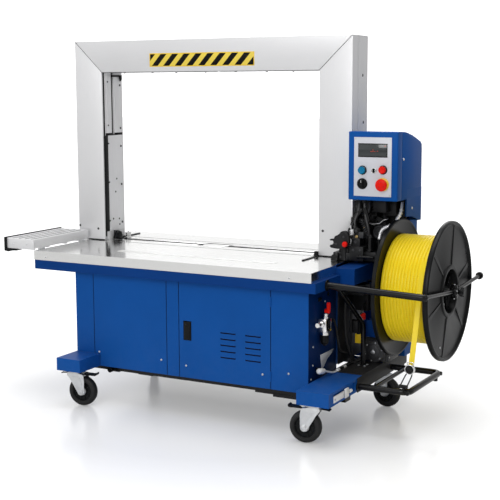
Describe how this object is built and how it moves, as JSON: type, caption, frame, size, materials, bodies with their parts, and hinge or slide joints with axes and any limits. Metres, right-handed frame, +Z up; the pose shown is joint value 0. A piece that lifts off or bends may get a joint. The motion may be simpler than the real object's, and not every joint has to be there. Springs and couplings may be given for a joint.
{
  "type": "strapping machine",
  "caption": "Arch strapping machine on casters: steel cabinet and table, aluminium arch, control box, side reel of yellow strap and a folding side leaf.",
  "frame": {"origin": "on the floor under the middle of the whole machine", "axes": "+X along the table towards the reel, +Y from the operator to the back, +Z up"},
  "size_m": [1.5234, 0.7255, 1.2142],
  "materials": {
    "blue_paint": "satin powder coat",
    "arch_aluminium": "satin anodised",
    "table_steel": "polished stainless",
    "black_metal": "satin black",
    "zinc_steel": "zinc plated",
    "black_rubber": "matte",
    "black_plastic": "satin",
    "yellow_strap": "satin",
    "red_plastic": "gloss",
    "blue_plastic": "gloss",
    "panel_foil": "satin"
  },
  "bodies": {
    "frame": {"left_foot": "blue_paint", "right_foot": "blue_paint", "left_panel": "blue_paint", "front_left_panel": "blue_paint", "centre_post": "blue_paint", "right_panel": "blue_paint", "rear_panel": "blue_paint", "apron": "blue_paint", "end_beam": "blue_paint", "control_box": "blue_paint", "control_post": "blue_paint", "arch_left_column": "arch_aluminium", "arch_right_column": "arch_aluminium", "arch_top_beam": "arch_aluminium", "table_front_plate": "table_steel", "table_rear_plate": "table_steel", "base_frame": "black_metal", "cabinet_floor": "black_metal", "upper_reel_frame": "black_metal", "lower_guard_frame": "black_metal", "feeder_head": "black_metal", "prefeed_unit": "black_metal", "drive_motor": "black_metal", "centre_bed": "zinc_steel", "reel_shaft": "zinc_steel", "sealing_head": "zinc_steel", "air_regulator": "zinc_steel", "drive_belt": "black_rubber", "strap_tail": "yellow_strap", "panel_plate": "panel_foil"},
    "door": {"louvred_door": "blue_paint"},
    "latch": {"door_latch": "black_plastic"},
    "anvil_slide": {"anvil": "zinc_steel"},
    "leaf": {"side_leaf": "arch_aluminium"},
    "start": {"start_button": "blue_plastic"},
    "reset": {"reset_button": "red_plastic"},
    "key": {"key_switch": "zinc_steel"},
    "selector": {"selector_knob": "black_plastic"},
    "estop": {"estop_button": "red_plastic"},
    "reel": {"reel_inner_flange": "black_plastic", "reel_outer_flange": "black_plastic", "strap_coil": "yellow_strap"},
    "clamp_knob": {"reel_clamp_knob": "black_plastic"},
    "guide": {"guide_arm": "black_metal"},
    "feed_wheel": {"feed_roller": "zinc_steel"},
    "pinch": {"pinch_lever": "black_metal"},
    "small_pulley": {"motor_pulley": "zinc_steel"},
    "large_pulley": {"cam_pulley": "zinc_steel"},
    "air_handle": {"air_lever": "red_plastic"},
    "front_left_caster": {"front_left_fork": "zinc_steel"},
    "front_left_roller": {"front_left_wheel": "black_rubber"},
    "front_left_pedal": {"front_left_brake": "black_plastic"},
    "front_right_caster": {"front_right_fork": "zinc_steel"},
    "front_right_roller": {"front_right_wheel": "black_rubber"},
    "front_right_pedal": {"front_right_brake": "black_plastic"},
    "rear_left_caster": {"rear_left_fork": "zinc_steel"},
    "rear_left_roller": {"rear_left_wheel": "black_rubber"},
    "rear_right_caster": {"rear_right_fork": "zinc_steel"},
    "rear_right_roller": {"rear_right_wheel": "black_rubber"}
  },
  "joints": [
    {"name": "door_hinge", "type": "hinge", "parent": "frame", "child": "door", "pos_m": [0.25635, -0.2487, 0.283], "axis": [0, 0, 1], "range_deg": [0, 100]},
    {"name": "latch_pivot", "type": "hinge", "parent": "door", "child": "latch", "pos_m": [-0.04415, -0.2447, 0.299], "axis": [-1, 0, 0], "range_deg": [0, 35], "stiffness_Nm_per_rad": 0.05},
    {"name": "anvil_travel", "type": "slide", "parent": "frame", "child": "anvil_slide", "axis": [0, 1, 0], "range_m": [0, 0.012]},
    {"name": "leaf_fold", "type": "hinge", "parent": "frame", "child": "leaf", "pos_m": [-0.63415, -0.1217, 0.5045], "axis": [0, -1, 0], "range_deg": [0, 90]},
    {"name": "start_press", "type": "slide", "parent": "frame", "child": "start", "axis": [0, 1, 0], "range_m": [0, 0.0035], "stiffness_N_per_m": 600},
    {"name": "reset_press", "type": "slide", "parent": "frame", "child": "reset", "axis": [0, 1, 0], "range_m": [0, 0.0035], "stiffness_N_per_m": 600},
    {"name": "key_turn", "type": "hinge", "parent": "frame", "child": "key", "pos_m": [0.49335, -0.0075, 0.794], "axis": [0, 1, 0], "range_deg": [0, 90]},
    {"name": "selector_turn", "type": "hinge", "parent": "frame", "child": "selector", "pos_m": [0.45485, -0.0075, 0.752], "axis": [0, 1, 0], "range_deg": [-45, 45]},
    {"name": "estop_press", "type": "slide", "parent": "frame", "child": "estop", "axis": [0, 1, 0], "range_m": [0, 0.005]},
    {"name": "reel_spin", "type": "hinge", "parent": "frame", "child": "reel", "pos_m": [0.54035, 0.0893, 0.4165], "axis": [1, 0, 0], "continuous": true},
    {"name": "clamp_knob_spin", "type": "hinge", "parent": "frame", "child": "clamp_knob", "pos_m": [0.74365, 0.0893, 0.4165], "axis": [1, 0, 0], "continuous": true},
    {"name": "guide_swing", "type": "hinge", "parent": "frame", "child": "guide", "pos_m": [0.65235, -0.1457, 0.1575], "axis": [1, 0, 0], "range_deg": [0, 15], "stiffness_Nm_per_rad": 1},
    {"name": "feed_wheel_spin", "type": "hinge", "parent": "frame", "child": "feed_wheel", "pos_m": [0.48035, 0.0743, 0.59], "axis": [0, 1, 0], "continuous": true},
    {"name": "pinch_open", "type": "hinge", "parent": "frame", "child": "pinch", "pos_m": [0.40785, -0.0177, 0.5605], "axis": [0, 1, 0], "range_deg": [0, 25]},
    {"name": "large_pulley_spin", "type": "hinge", "parent": "frame", "child": "large_pulley", "pos_m": [-0.14365, 0.1693, 0.37], "axis": [0, 1, 0], "continuous": true},
    {"name": "small_pulley_spin", "type": "hinge", "parent": "frame", "child": "small_pulley", "pos_m": [0.05635, 0.1693, 0.24], "axis": [0, 1, 0], "continuous": true},
    {"name": "air_handle_turn", "type": "hinge", "parent": "frame", "child": "air_handle", "pos_m": [0.40635, -0.1617, 0.37], "axis": [1, 0, 0], "range_deg": [0, 90]},
    {"name": "front_left_swivel", "type": "hinge", "parent": "frame", "child": "front_left_caster", "pos_m": [-0.44165, -0.3137, 0.124], "axis": [0, 0, 1], "continuous": true},
    {"name": "front_left_roll", "type": "hinge", "parent": "front_left_caster", "child": "front_left_roller", "pos_m": [-0.4159, -0.31008, 0.05], "axis": [-0.1392, 0.9903, 0], "continuous": true},
    {"name": "front_left_pedal_press", "type": "hinge", "parent": "front_left_caster", "child": "front_left_pedal", "pos_m": [-0.40551, -0.30862, 0.1075], "axis": [-0.1392, 0.9903, 0], "range_deg": [0, 8]},
    {"name": "front_right_swivel", "type": "hinge", "parent": "frame", "child": "front_right_caster", "pos_m": [0.43935, -0.3217, 0.124], "axis": [0, 0, 1], "continuous": true},
    {"name": "front_right_roll", "type": "hinge", "parent": "front_right_caster", "child": "front_right_roller", "pos_m": [0.41349, -0.32442, 0.05], "axis": [0.1045, -0.9945, 0], "continuous": true},
    {"name": "front_right_pedal_press", "type": "hinge", "parent": "front_right_caster", "child": "front_right_pedal", "pos_m": [0.40305, -0.32552, 0.1075], "axis": [0.1045, -0.9945, 0], "range_deg": [0, 8]},
    {"name": "rear_left_swivel", "type": "hinge", "parent": "frame", "child": "rear_left_caster", "pos_m": [-0.43365, 0.1493, 0.124], "axis": [0, 0, 1], "continuous": true},
    {"name": "rear_left_roll", "type": "hinge", "parent": "rear_left_caster", "child": "rear_left_roller", "pos_m": [-0.42065, 0.12678, 0.05], "axis": [0.866, 0.5, 0], "continuous": true},
    {"name": "rear_right_swivel", "type": "hinge", "parent": "frame", "child": "rear_right_caster", "pos_m": [0.46235, 0.1493, 0.124], "axis": [0, 0, 1], "continuous": true},
    {"name": "rear_right_roll", "type": "hinge", "parent": "rear_right_caster", "child": "rear_right_roller", "pos_m": [0.48778, 0.14389, 0.05], "axis": [0.2079, 0.9781, 0], "continuous": true}
  ],
  "couplings": [
    {"joint": "small_pulley_spin", "follows": "large_pulley_spin", "ratio": 2.1538}
  ]
}
